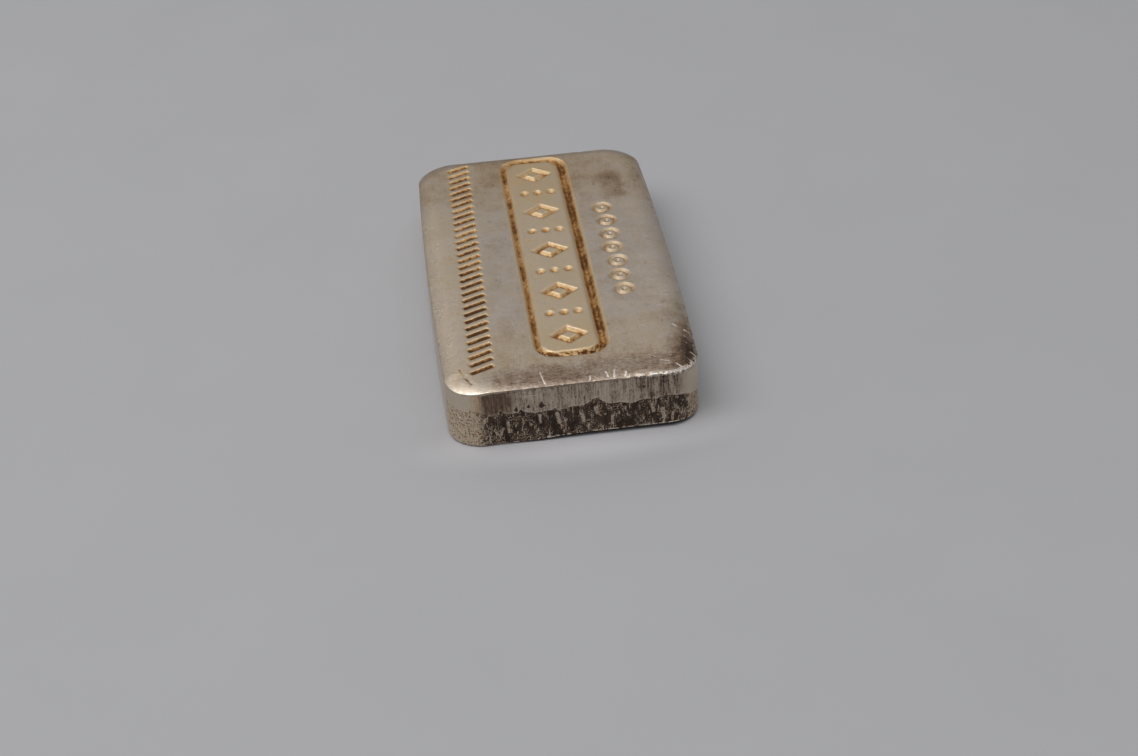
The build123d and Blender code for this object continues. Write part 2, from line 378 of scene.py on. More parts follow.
def relief(points, normals, rim, torn, faces_end, above_foot):
    """How far wear and tearing take the surface in, along its normal. Slow swells all over, dents and gouges
    on the top, nicks within half a millimetre of the rim, more of them on the near end's -Y half, and on the
    two sheared ends fine upright flutes above the torn line and a deeper, columned break below it. It all
    stops short of the foot, which keeps a thin uneven burr."""
    x, y = points.T[:2]
    stretched = points * np.array([1, 1, 0.15])
    end_face = soft_step((faces_end - 0.5) / 0.45)
    depth = uneven(points, depth=0.018, size=11.0, seed=1) + uneven(points, depth=0.008, size=3.1, seed=2)
    depth += dent_depth(points) * (normals[:, 2] > 0.5)

    rough_side = soft_step((2.0 - y) / 4.0) * soft_step((-30.0 - x) / 3.0)
    nicks = noise(points, size=0.55, seed=3) + 0.6 * noise(points, size=1.3, seed=4) - 0.65
    nicks += 0.6 * rough_side
    at_rim = np.exp(-((rim + 0.1) / 0.5) ** 2)
    depth += at_rim * (0.18 * np.maximum(nicks, 0) + uneven(points, depth=0.02, size=2.3, seed=5))

    break_in = soft_step(torn / 0.35) * end_face
    columns = noise(stretched, size=0.55, seed=6) + 0.7 * noise(stretched * 0.7, size=0.9, seed=7)
    depth += break_in * (0.07 + 0.055 * (1 + columns) + uneven(points, depth=0.03, size=0.45, seed=8))
    wall = soft_step(rim / 0.4) * (1 - break_in) * end_face
    depth += wall * uneven(stretched * 0.5, depth=0.008, size=0.28, seed=9)
    return depth * soft_step(above_foot / (0.14 + 0.06 * noise(points, size=0.8, seed=10)))


def make_bar():
    """The bar as a mesh: the surface, what was struck into it, and the relief of wear, with its measures
    kept as attributes for the finish."""
    points, normals, quads, cap, rim = bar_surface()
    depth, inset = struck(points[:, 0], points[:, 1])
    on_top = soft_step((points[:, 2] - (THICKNESS - 1.0)) / 0.6) * (normals[:, 2] > 0)
    walls = np.hypot(normals[:, 0], normals[:, 1])
    faces_end = np.abs(normals[:, 0]) / np.maximum(walls, TINY) * (walls > 0.2)
    torn = below_torn_line(points)
    above_foot = points[:, 2] - lift(points[:, 0], points[:, 1])
    measures = {
        "strike_inset": np.where(normals[:, 2] > 0.5, np.clip(inset, -1.5, 1.5), -1.5),
        "below_torn_line": torn,
        "faces_end": faces_end,
        "from_rim": rim,
        "above_foot": above_foot,
    }
    taken = relief(points, normals, rim, torn, faces_end, above_foot)
    points -= normals * taken[:, None]
    points[:, 2] -= depth * on_top

    mesh = bpy.data.meshes.new(NODE + "_dressed")
    mesh.from_pydata((points * MM).tolist(), [], quads.tolist() + cap.tolist())
    mesh.shade_smooth()
    for name, values in measures.items():
        layer = mesh.attributes.new(name, "FLOAT", "POINT")
        layer.data.foreach_set("value", values.astype(np.float32))
    return in_scene(NODE + "_dressed", mesh)


def in_scene(name, data):
    """An object with this mesh, lens or lamp, linked to the scene."""
    made = bpy.data.objects.new(name, data)
    bpy.context.scene.collection.objects.link(made)
    return made


def make_floor():
    """A flat floor, wide enough to fill the view."""
    mesh = bpy.data.meshes.new("floor")
    r = FLOOR_REACH * MM
    mesh.from_pydata([(-r, -r, 0), (r, -r, 0), (r, r, 0), (-r, r, 0)], [], [(0, 1, 2, 3)])
    return in_scene("floor", mesh)


def srgb(red, green, blue):
    """A colour given as 0 to 255 on screen, as linear light with alpha."""
    return tuple(((v / 255 + 0.055) / 1.055) ** 2.4 for v in (red, green, blue)) + (1.0,)


class Wiring:
    """Adds shader nodes to one tree. Each method returns the socket that carries its result."""

    def __init__(self, tree):
        self.tree = tree

    def feed(self, socket, value):
        if isinstance(value, bpy.types.NodeSocket):
            self.tree.links.new(value, socket)
        else:
            socket.default_value = value

    def add(self, kind, inputs, **settings):
        node = self.tree.nodes.new(kind)
        for name, value in settings.items():
            setattr(node, name, value)
        for name, value in inputs.items():
            self.feed(node.inputs[name], value)
        return node

    def math(self, operation, first, second=0.0):
        return self.add("ShaderNodeMath", {0: first, 1: second}, operation=operation).outputs[0]

    def chain(self, operation, terms):
        """One operation carried through all the terms. A term that is a tuple is first multiplied out."""
        values = [self.product(*term) if isinstance(term, tuple) else term for term in terms]
        result = values[0]
        for value in values[1:]:
            result = self.math(operation, result, value)
        return result

    def product(self, *factors):
        return self.chain("MULTIPLY", factors)

    def total(self, *terms):
        return self.chain("ADD", terms)

    def most(self, *terms):
        return self.chain("MAXIMUM", terms)

    def vector(self, operation, first, second=(0, 0, 0), output="Vector"):
        return self.add("ShaderNodeVectorMath", {0: first, 1: second}, operation=operation).outputs[output]

    def step(self, value, start, end, result_start=0.0, result_end=1.0):
        """A smooth step from one result to the other as the value goes from start to end."""
        inputs = {"Value": value, "From Min": start, "From Max": end, "To Min": result_start,
                  "To Max": result_end}
        return self.add("ShaderNodeMapRange", inputs, interpolation_type="SMOOTHSTEP").outputs[0]

    def blend(self, factor, first, second):
        """Colour from first to second as the factor goes from 0 to 1."""
        node = self.add("ShaderNodeMix", {0: factor, 6: first, 7: second}, data_type="RGBA")
        return node.outputs[2]

    def ramp(self, value, stops):
        node = self.add("ShaderNodeValToRGB", {"Fac": value})
        elements = node.color_ramp.elements
        while len(elements) < len(stops):
            elements.new(0.5)
        for element, (place, colour) in zip(elements, stops):
            element.position = place
            element.color = (*colour, 1.0)
        return node.outputs["Color"]

    def grain(self, place, size, detail=2.0):
        """Smooth noise from 0 to 1, with lumps of about this size."""
        scale = self.math("DIVIDE", 1.0, size)
        inputs = {"Vector": place, "Scale": scale, "Detail": detail, "Roughness": 0.55}
        return self.add("ShaderNodeTexNoise", inputs).outputs[0]

    def ragged(self, place, size, detail, height):
        """Noise about 0 with lumps of this size, to half this height either way."""
        return self.product(self.total(self.grain(place, size, detail), -0.5), height)

    def between(self, value, rise, fall):
        """1 between two places and 0 outside them, with a smooth step for each."""
        return self.product(self.step(value, *rise), self.step(value, *fall))

    def measure(self, name):
        return self.add("ShaderNodeAttribute", {}, attribute_name=name).outputs["Fac"]

    def effect(self, group, output, **inputs):
        """One placing of a shader node group, with its own values, for one of its outputs."""
        node = self.tree.nodes.new("ShaderNodeGroup")
        node.node_tree = group
        for name, value in inputs.items():
            self.feed(node.inputs[name], value)
        return node.outputs[output]


def new_effect(name, output="Mask", **inputs):
    """An empty shader node group with named sockets: an input for each default, a vector where that is a
    tuple and a number where it isn't, and one output. Gives the group, its wiring, its inputs and its
    output."""
    group = bpy.data.node_groups.new(name, "ShaderNodeTree")
    for socket, default in inputs.items():
        kind = "NodeSocketVector" if isinstance(default, tuple) else "NodeSocketFloat"
        group.interface.new_socket(socket, in_out="INPUT", socket_type=kind).default_value = default
    kind = "NodeSocketColor" if output == "Colour" else "NodeSocketFloat"
    group.interface.new_socket(output, in_out="OUTPUT", socket_type=kind)
    given = group.nodes.new("NodeGroupInput").outputs
    return group, Wiring(group), given, group.nodes.new("NodeGroupOutput").inputs[output]


def mottle_effect():
    """Blotches: noise with lumps of a given size, cut between a low and a high level."""
    group, wire, given, mask = new_effect("mottle", Place=ORIGIN, Size=1.0, Low=0.36, High=0.64)
    value = wire.grain(given["Place"], given["Size"])
    wire.feed(mask, wire.step(value, given["Low"], given["High"]))
    return group


def streak_effect():
    """Streaks: the place is turned about Z, divided by a stretch for each way, and noise there is cut
    between a low and a high level, so a streak is as long and as wide as its stretch."""
    group, wire, given, mask = new_effect("streaks", Place=ORIGIN, Turn=0.0, Stretch=(1, 1, 1),
                                          Low=0.5, High=0.6)
    turned = wire.add("ShaderNodeVectorRotate", {"Vector": given["Place"], "Angle": given["Turn"]},
                      rotation_type="Z_AXIS").outputs[0]
    value = wire.grain(wire.vector("DIVIDE", turned, given["Stretch"]), 1.0, 1.0)
    wire.feed(mask, wire.step(value, given["Low"], given["High"]))
    return group


def pit_effect():
    """Small pits: cells of a given size, of which a share holds a pit, each with its own radius, with a
    ragged edge from noise a third of that size."""
    group, wire, given, mask = new_effect("pits", Place=ORIGIN, Size=1.0, Share=0.3)
    ragged = wire.grain(given["Place"], wire.product(given["Size"], 0.35), 1.0)
    scale = wire.math("DIVIDE", 1.0, given["Size"])
    cells = wire.add("ShaderNodeTexVoronoi", {"Vector": given["Place"], "Scale": scale})
    lot = wire.add("ShaderNodeSeparateColor", {"Color": cells.outputs["Color"]}).outputs
    away = wire.total(cells.outputs["Distance"], (ragged, 0.35), -0.17)
    radius = wire.total((lot["Green"], 0.25), 0.2)
    inside = wire.step(wire.math("SUBTRACT", radius, away), -0.04, 0.1)
    chosen = wire.math("LESS_THAN", lot["Red"], given["Share"])
    wire.feed(mask, wire.product(inside, chosen))
    return group


def stain_effect():
    """One stain: distance from its middle, in shares of its reach each way, made ragged by noise, and cut
    softly at 1."""
    group, wire, given, mask = new_effect("stain", Place=ORIGIN, Middle=ORIGIN, Reach=(1, 1, 1),
                                          Ragged=0.5, Softness=0.3, Size=1.5)
    off = wire.vector("DIVIDE", wire.vector("SUBTRACT", given["Place"], given["Middle"]), given["Reach"])
    uneven = wire.ragged(given["Place"], given["Size"], 3.0, wire.product(given["Ragged"], 2.0))
    away = wire.total(wire.vector("LENGTH", off, output="Value"), uneven)
    start = wire.total(given["Softness"], 1.0)
    end = wire.math("SUBTRACT", 1.0, given["Softness"])
    wire.feed(mask, wire.step(away, start, end))
    return group


def fleck_effect():
    """One small kite-shaped fleck on an end wall, cut short below its middle. Its outline is
    |y| + |z| = 1, in shares of its reach."""
    group, wire, given, mask = new_effect("fleck", Place=ORIGIN, Middle=ORIGIN, Reach=(1, 1, 1))
    off = wire.vector("DIVIDE", wire.vector("SUBTRACT", given["Place"], given["Middle"]), given["Reach"])
    x, y, z = wire.add("ShaderNodeSeparateXYZ", {0: off}).outputs
    tall = wire.most(z, (z, -2.2))
    away = wire.total(wire.math("ABSOLUTE", y), tall, wire.ragged(given["Place"], 0.18, 2.0, 0.9))
    wire.feed(mask, wire.product(wire.step(away, 1.1, 0.8), wire.math("LESS_THAN", x, 1.0)))
    return group


def score_effect():
    """One scored line: distance from a line between two places, cut at its width, broken up by noise."""
    group, wire, given, mask = new_effect("scored line", Place=ORIGIN, From=ORIGIN, To=(1, 0, 0),
                                          Width=0.15)
    run = wire.vector("SUBTRACT", given["To"], given["From"])
    off = wire.vector("SUBTRACT", given["Place"], given["From"])
    share = wire.math("DIVIDE", wire.vector("DOT_PRODUCT", off, run, "Value"),
                      wire.vector("DOT_PRODUCT", run, run, "Value"))
    share = wire.add("ShaderNodeClamp", {"Value": share}).outputs[0]
    along = wire.add("ShaderNodeVectorMath", {0: run, "Scale": share}, operation="SCALE").outputs[0]
    away = wire.vector("LENGTH", wire.vector("SUBTRACT", off, along), output="Value")
    broken = wire.step(wire.grain(given["Place"], 0.3), 0.35, 0.55, 0.35, 1.0)
    inside = wire.step(away, given["Width"], wire.product(given["Width"], 0.3))
    wire.feed(mask, wire.product(inside, broken))
    return group


def tarnish_effect():
    """Colour of the metal under a film that grows from 0 to 1, by two routes: grey-brown grime, and the
    golds and red-browns of a film left in struck lines."""
    group, wire, given, colour = new_effect("tarnish", "Colour", Film=0.0, Gold=0.0)
    grime = wire.ramp(given["Film"], [(0.0, (0.60, 0.51, 0.42)), (0.25, (0.49, 0.405, 0.315)),
                                      (0.5, (0.32, 0.245, 0.187)), (0.78, (0.14, 0.101, 0.08)),
                                      (1.0, (0.042, 0.031, 0.027))])
    gold = wire.ramp(given["Film"], [(0.0, (0.63, 0.525, 0.41)), (0.2, (0.61, 0.48, 0.32)),
                                     (0.4, (0.60, 0.41, 0.21)), (0.6, (0.43, 0.245, 0.095)),
                                     (0.8, (0.22, 0.10, 0.032)), (1.0, (0.10, 0.048, 0.024))])
    wire.feed(colour, wire.blend(given["Gold"], grime, gold))
    return group


# The near end's wall: its place along X, and how far stains and flecks reach from there. Its broken face
# lies a little further in
WALL_X, WALL_REACH, BROKEN_X = -35.2, 1.5, -35.05


def on_near_wall(y, z, reach_y, reach_z):
    """Middle and reach of a stain or fleck on the near end's wall."""
    return (WALL_X, y, z), (WALL_REACH, reach_y, reach_z)


# Stains: middle, reach, how ragged, how soft, lump size, and how much film they leave
TOP_STAINS = [
    ((22.3, -13.7, 10.7), (5.4, 2.0, 9), 0.5, 0.55, 2.2, 0.24),
    ((24.3, -18.0, 10.4), (2.2, 1.2, 9), 0.5, 0.4, 1.2, 0.16),
    ((-26.5, -18.6, 10.3), (9.0, 3.0, 4), 0.6, 0.7, 1.6, 0.24),
    ((-24.6, -19.6, 10.0), (3.4, 1.6, 3), 0.7, 0.5, 0.9, 0.20),
    ((-30.0, -18.4, 10.2), (3.6, 1.8, 3), 0.7, 0.6, 0.9, 0.18),
    ((-33.2, -14.4, 10.4), (1.8, 4.2, 2), 0.6, 0.6, 1.1, 0.08),
]
RED_BLOCK = on_near_wall(12.2, 8.3, 2.8, 3.2)  # red-brown film on the wall's +Y part
WALL_STAINS = [
    (*RED_BLOCK, 0.35, 0.55, 1.2, 0.58),
    (*on_near_wall(1.5, 9.0, 3.4, 1.0), 0.6, 0.6, 0.9, 0.05),
    (*on_near_wall(-13.4, 8.3, 3.4, 3.6), 0.5, 0.6, 1.2, 0.26),
    ((-32.2, 19.4, 7.6), (1.8, 1.2, 1.8), 0.5, 0.6, 0.9, 0.16),
]

# Stains on the broken face that keep it black: each takes away a share of what breaks up the black there
BLACK_SHARE = 0.6
BLACK_PLACES = [(*on_near_wall(*place), 0.4, 0.5, 0.8, BLACK_SHARE) for place in [
    (11.3, 4.2, 0.8, 1.5), (4.3, 3.7, 1.1, 2.0), (0.6, 3.4, 0.9, 1.6), (-9.4, 3.8, 1.4, 1.2),
    (-7.4, 1.9, 1.6, 0.9)]]

# Flecks just above the torn line of the near end
FLECKS = [on_near_wall(*place) for place in [
    (16.2, 6.7, 0.22, 0.7), (9.2, 6.45, 0.35, 0.9), (7.3, 6.8, 0.35, 0.5), (5.3, 6.75, 0.60, 1.0)]]

# Pale tears down the broken face, as scored lines: y and z of both ends, and width
PALE_TEARS = [((BROKEN_X, *start), (BROKEN_X, *end), width) for start, end, width in [
    ((11.4, 3.2), (11.8, 2.0), 0.30), ((10.6, 4.2), (10.5, 2.4), 0.32), ((5.7, 5.0), (5.6, 3.6), 0.30),
    ((3.0, 4.9), (2.7, 3.2), 0.46), ((-0.8, 4.3), (-1.1, 2.9), 0.42), ((-3.0, 5.2), (-3.1, 4.2), 0.42),
    ((-5.5, 3.4), (-5.5, 1.9), 0.32), ((-11.7, 4.6), (-11.9, 3.4), 0.40),
    ((-13.3, 3.6), (-13.6, 2.0), 0.46), ((-14.9, 2.6), (-14.8, 1.3), 0.34)]]

# Scored lines: from, to, width. Bright ones are fresh metal, and dark ones have filled with grime
BRIGHT_SCORES = [
    ((-32.1, 5.0, 10.7), (-34.6, 4.6, 10.4), 0.20),
    ((-22.9, -17.0, 10.6), (-23.6, -17.5, 10.5), 0.22),
    ((-24.4, -18.5, 10.3), (-25.0, -19.2, 10.0), 0.24),
    ((-26.1, -18.3, 10.4), (-27.2, -19.0, 10.1), 0.12),
    ((-27.0, -18.7, 10.2), (-29.3, -19.8, 9.7), 0.13),
    ((-28.0, -18.2, 10.4), (-28.7, -19.4, 9.9), 0.13),
    ((-30.4, -18.5, 10.3), (-31.3, -19.2, 9.9), 0.13),
    ((-32.1, -13.6, 10.7), (-32.6, -14.8, 10.7), 0.12),
    ((-31.4, -17.3, 10.4), (-32.9, -18.6, 10.0), 0.15),
    ((-33.6, -4.9, 10.6), (-34.6, -5.1, 10.4), 0.24),
    ((-33.2, -6.3, 10.6), (-34.9, -6.0, 10.3), 0.26),
    ((-34.0, -8.0, 10.6), (-34.9, -7.7, 10.4), 0.22),
    ((-34.1, -2.4, 10.6), (-34.9, -2.3, 10.4), 0.18),
    ((-33.3, -15.9, 10.5), (-34.4, -17.2, 10.1), 0.20),
    ((-34.5, -15.6, 10.4), (-33.4, -17.6, 10.1), 0.16),
    ((-34.7, -15.2, 10.2), (-34.2, -17.0, 10.1), 0.30),
    ((-35.25, 7.9, 8.9), (-35.25, 5.7, 8.85), 0.12),
]
DARK_SCORES = [
    ((-28.9, 17.1, 10.7), (-31.0, 16.5, 10.7), 0.22),
    ((-31.0, 16.5, 10.7), (-33.0, 15.6, 10.6), 0.26),
    ((-30.9, -12.4, 10.7), (-31.5, -13.0, 10.7), 0.14),
]

FRESH_SILVER = (0.93, 0.89, 0.84, 1.0)
VIOLET_GREY = (0.51, 0.46, 0.425, 1.0)
FLOOR_GREYS = srgb(160, 160, 162), srgb(165, 165, 167)
# Colour of a pool of painted light on the floor before the near end
FLOOR_PAINTED_LIGHT = srgb(196, 195, 197)
SURROUND_LOW, SURROUND_HIGH = (0.16, 0.16, 0.165, 1), (0.78, 0.78, 0.79, 1)


class Finish(Wiring):
    """The wiring of the silver's material, in millimetres, with the effects it places and the measures they
    read. The film functions add the masks that they share."""

    def __init__(self, material):
        super().__init__(material.node_tree)
        self.groups = {"mottle": mottle_effect(), "streaks": streak_effect(), "pits": pit_effect(),
                       "stain": stain_effect(), "fleck": fleck_effect(), "score": score_effect(),
                       "tarnish": tarnish_effect()}
        object_place = self.add("ShaderNodeTexCoord", {}).outputs["Object"]
        in_millimetres = {"Vector": object_place, "Scale": (1 / MM,) * 3}
        self.place = self.add("ShaderNodeMapping", in_millimetres).outputs[0]
        self.x, self.y = self.add("ShaderNodeSeparateXYZ", {0: self.place}).outputs[:2]
        self.inset = self.measure("strike_inset")
        self.torn, self.rim = self.measure("below_torn_line"), self.measure("from_rim")
        self.faces_end, self.above_foot = self.measure("faces_end"), self.measure("above_foot")
        self.fray = self.ragged(self.place, 0.35, 3.0, 0.6)
        self.on_wall = self.step(self.rim, -0.05, 0.15)
        self.on_top = self.less(self.on_wall)
        self.near = self.step(self.x, -24.0, -31.5)
        self.far = self.step(self.x, 6.0, 28.0)
        self.from_middle = self.math("ABSOLUTE", self.total(self.y, -FRAME_Y))
        along_frame = self.math("ABSOLUTE", self.total(self.x, -FRAME_X))
        half_length, half_width = FRAME_LENGTH / 2, FRAME_WIDTH / 2
        self.in_frame = self.product(self.step(self.from_middle, half_width + 0.25, half_width - 0.25),
                                     self.step(along_frame, half_length + 0.15, half_length - 0.35))
        self.at_side = self.step(self.y, 10.0, 18.5)
        uneven = self.ragged(self.place, 0.8, 4.0, 0.9)
        self.sheared = self.step(self.total(self.faces_end, uneven), 0.15, 0.35)
        self.broken = self.product(self.step(self.total(self.torn, self.fray), -0.03, 0.06), self.sheared)
        self.struck = self.step(self.total(self.inset, (self.fray, 0.2)), 0.0, 0.1)

    def mask(self, effect, **inputs):
        return self.effect(self.groups[effect], "Mask", Place=self.place, **inputs)

    def less(self, value):
        return self.math("SUBTRACT", 1.0, value)

    def stains(self, rows):
        """Film of a list of stains, added up."""
        return self.total(*[
            (self.mask("stain", Middle=middle, Reach=reach, Ragged=ragged, Softness=soft, Size=size), film)
            for middle, reach, ragged, soft, size, film in rows])

    def flecks(self, rows):
        """Mask of a list of flecks."""
        return self.most(*[self.mask("fleck", Middle=middle, Reach=reach) for middle, reach in rows])

    def scores(self, rows):
        """Mask of a list of scored lines."""
        return self.most(*[
            self.mask("score", From=start, To=end, Width=width) for start, end, width in rows])


def ground_film(fin):
    """Film on the open ground of the top: lumps and clouds, fine dirt, specks, dark scores and stains,
    thinned by scratches, with brushed streaks and a darker strip before the shoulder near the end, partly
    toning and partly painted shade, a duller far end and a paler +Y side. It is thinner inside the frame."""
    fin.lumps = fin.mask("mottle", Size=2.0, Low=0.34, High=0.66)
    clouds = fin.mask("mottle", Size=6.5)
    fine = fin.mask("mottle", Size=0.42)
    fin.specks = fin.mask("pits", Size=1.5, Share=0.12)
    dust = fin.mask("pits", Size=0.5, Share=0.22)
    fin.brushed = fin.mask("streaks", Turn=0.02, Stretch=(0.09, 1.1, 1.0), Low=0.34, High=0.68)
    crossed = fin.mask("streaks", Turn=0.06, Stretch=(3.0, 0.22, 1.0), Low=0.35, High=0.7)
    duller = fin.total((fin.far, fin.step(fin.at_side, 0.0, 1.0, 0.19, 0.12)),
                       (fin.at_side, fin.less(fin.far), -0.15), fin.step(fin.y, -6.0, -14.0, 0.0, -0.04))
    # A strip darkened before the shoulder near the end: partly toning, partly painted shade for the darker
    # reflection of the roll there
    toned_and_shaded_band = fin.product(fin.step(fin.total(fin.rim, (fin.fray, 2.0)), -6.2, -3.2),
                       fin.step(fin.rim, -0.2, -1.6), fin.near, fin.step(fin.y, 15.5, 9.0))
    fin.scratched = fin.most(
        fin.mask("streaks", Turn=0.35, Stretch=(2.2, 0.07, 1.0), Low=0.61, High=0.68),
        fin.mask("streaks", Turn=-0.9, Stretch=(1.6, 0.06, 1.0), Low=0.62, High=0.69),
        fin.mask("streaks", Turn=1.45, Stretch=(2.8, 0.07, 1.0), Low=0.61, High=0.68))
    film = fin.total((fin.lumps, 0.12), (clouds, 0.13), (fine, 0.06), (dust, 0.10), (fin.brushed, 0.03),
                     (crossed, 0.05), (fin.scratched, -0.06), duller)
    film = fin.total((film, fin.step(fin.in_frame, 0.0, 1.0, 1.0, 0.55)), (fin.in_frame, 0.05))
    fin.near_ground = fin.product(fin.step(fin.x, -15.0, -24.0), fin.step(fin.rim, -3.6, -6.2))
    return fin.total(film, (fin.specks, 0.14), (fin.near_ground, 0.08), (fine, fin.near, 0.09),
                     (fin.brushed, fin.near, 0.07), (toned_and_shaded_band, fin.total(0.17, (fin.brushed, 0.14))),
                     (fin.scores(DARK_SCORES), 0.65), fin.stains(TOP_STAINS))


def struck_film(fin):
    """Film in what was struck: a halo, then deeper colour towards the bottom, blotched and broken. It is
    deepest in the border, which also has the widest halo, and thinnest in the framed marks and the punched
    row."""
    blotch = fin.mask("mottle", Size=0.7)
    patch = fin.mask("mottle", Size=4.5)
    inset = fin.total(fin.inset, (fin.fray, 0.25))
    in_border = fin.step(fin.y, 8.5, 9.5)
    halo = fin.step(inset, fin.step(in_border, 0.0, 1.0, -0.45, -0.75), 0.05, 0.0, 0.27)
    bottom = fin.step(inset, 0.02, 0.52, 0.20, 0.71)
    uneven = fin.total((fin.total(blotch, -0.5), 0.24), (fin.total(patch, -0.5), 0.24))
    border = fin.product(in_border, fin.step(fin.x, 24.0, -24.0, 0.30, 0.56))
    near_end = fin.product(fin.step(fin.x, -25.0, -26.5), fin.step(fin.y, 8.5, 7.5),
                           fin.step(blotch, 0.2, 0.8), 0.38)
    in_marks = fin.product(fin.in_frame, fin.step(fin.from_middle, 4.3, 3.9))
    pale = fin.product(fin.most(in_marks, fin.step(fin.y, -8.0, -9.0)), -0.10)
    return fin.most(halo, (fin.struck, fin.total(bottom, uneven, border, near_end, pale)))


def upper_film(fin):
    """Film on the walls above the torn line: flutes and shafts, spots, stains and flecks, with a pale lip
    along the line. The block of red-brown hides most of the flutes."""
    fin.flutes = fin.mask("streaks", Stretch=(0.26, 0.26, 3.0), Low=0.35, High=0.68)
    fin.fine_flutes = fin.mask("streaks", Stretch=(0.11, 0.11, 1.1), Low=0.32, High=0.68)
    shafts = fin.mask("streaks", Stretch=(1.3, 1.3, 6.0), Low=0.35, High=0.65)
    spots = fin.mask("streaks", Stretch=(0.24, 0.24, 0.45), Low=0.60, High=0.68)
    blotch = fin.mask("mottle", Size=0.5)
    middle, reach = RED_BLOCK
    fin.red_block = fin.mask("stain", Middle=middle, Reach=reach, Ragged=0.35, Softness=0.55)
    fluted = fin.total(-0.16, (fin.flutes, 0.26), (shafts, 0.22), (spots, 0.32), (blotch, 0.12))
    on_end = fin.product(fin.step(fin.faces_end, 0.9, 0.99), fin.step(fin.red_block, 0.0, 1.0, 1.0, 0.3),
                         fluted)
    film = fin.total(on_end, (fin.fine_flutes, fin.sheared, 0.14), (fin.flutes, fin.sheared, 0.10),
                     (fin.lumps, 0.05), fin.stains(WALL_STAINS))
    film = fin.most(film, (fin.flecks(FLECKS), 0.92))
    to_line = fin.step(fin.total(fin.torn, fin.fray), -0.34, -0.08)
    return fin.total(film, (to_line, fin.less(fin.broken), fin.flat_end, -0.26))


def lower_film(fin):
    """Film on the broken face below the torn line: almost black, broken up by smears, crumbs and pale tears,
    and less so in the black places. Towards the corners it breaks up into dark pits and streaks."""
    fin.tears = fin.mask("streaks", Stretch=(0.38, 0.38, 1.4), Low=0.61, High=0.67)
    fin.crumbs = fin.mask("mottle", Size=0.24, Low=0.46, High=0.60)
    crumbly = fin.mask("streaks", Stretch=(1.3, 1.3, 2.0), Low=0.42, High=0.56)
    smears = fin.mask("streaks", Stretch=(0.6, 0.6, 3.0), Low=0.40, High=0.60)
    broken_up = fin.total((smears, -0.08), (fin.tears, -0.80), (crumbly, fin.crumbs, -0.58),
                          (fin.crumbs, -0.08))
    black = fin.total(1.0, (broken_up, fin.less(fin.stains(BLACK_PLACES))),
                      (fin.scores(PALE_TEARS), -0.85))
    fin.speckle = fin.mask("pits", Size=0.32, Share=0.78)
    streaked = fin.mask("streaks", Stretch=(0.22, 0.22, 0.7), Low=0.48, High=0.58)
    corner = fin.total(fin.step(fin.y, 0.0, -15.0, 0.06, 0.12), (fin.speckle, 1.1), (streaked, 0.60),
                       (fin.crumbs, 0.10))
    return fin.total((black, fin.flat_end), (corner, fin.less(fin.flat_end)))


def wall_film(fin):
    """Film on the walls, above and below the torn line. The foot ends in a worn burr, and below it the
    ends are black underneath: partly dark tarnish, partly painted shade for the gap under the bar.
    """
    to_corner = fin.math("ABSOLUTE", fin.total(fin.y, 1.3))
    frayed = fin.total(to_corner, fin.ragged(fin.place, 0.7, 5.0, 11.0))
    fin.flat_end = fin.product(fin.step(frayed, 16.3, 15.2), fin.sheared)
    fin.round_corner = fin.product(fin.step(to_corner, 15.0, 17.0), fin.sheared)
    film = fin.total((upper_film(fin), fin.less(fin.broken)), (lower_film(fin), fin.broken))
    fin.burr = fin.product(fin.between(fin.above_foot, (0.05, 0.08), (0.19, 0.14)), fin.flat_end,
                           fin.mask("mottle", Size=0.8, Low=0.46, High=0.54))
    film = fin.product(film, fin.step(fin.burr, 0.0, 1.0, 1.0, 0.25))
    # Black film on the ends' foot and underside: partly dark tarnish, partly painted shade for the gap under
    # the bar
    tarnish_and_shade_under_end = fin.most(fin.sheared, fin.step(fin.x, -27.0, -30.5))
    return fin.most(film, (fin.step(fin.above_foot, 0.08, 0.04), tarnish_and_shade_under_end))


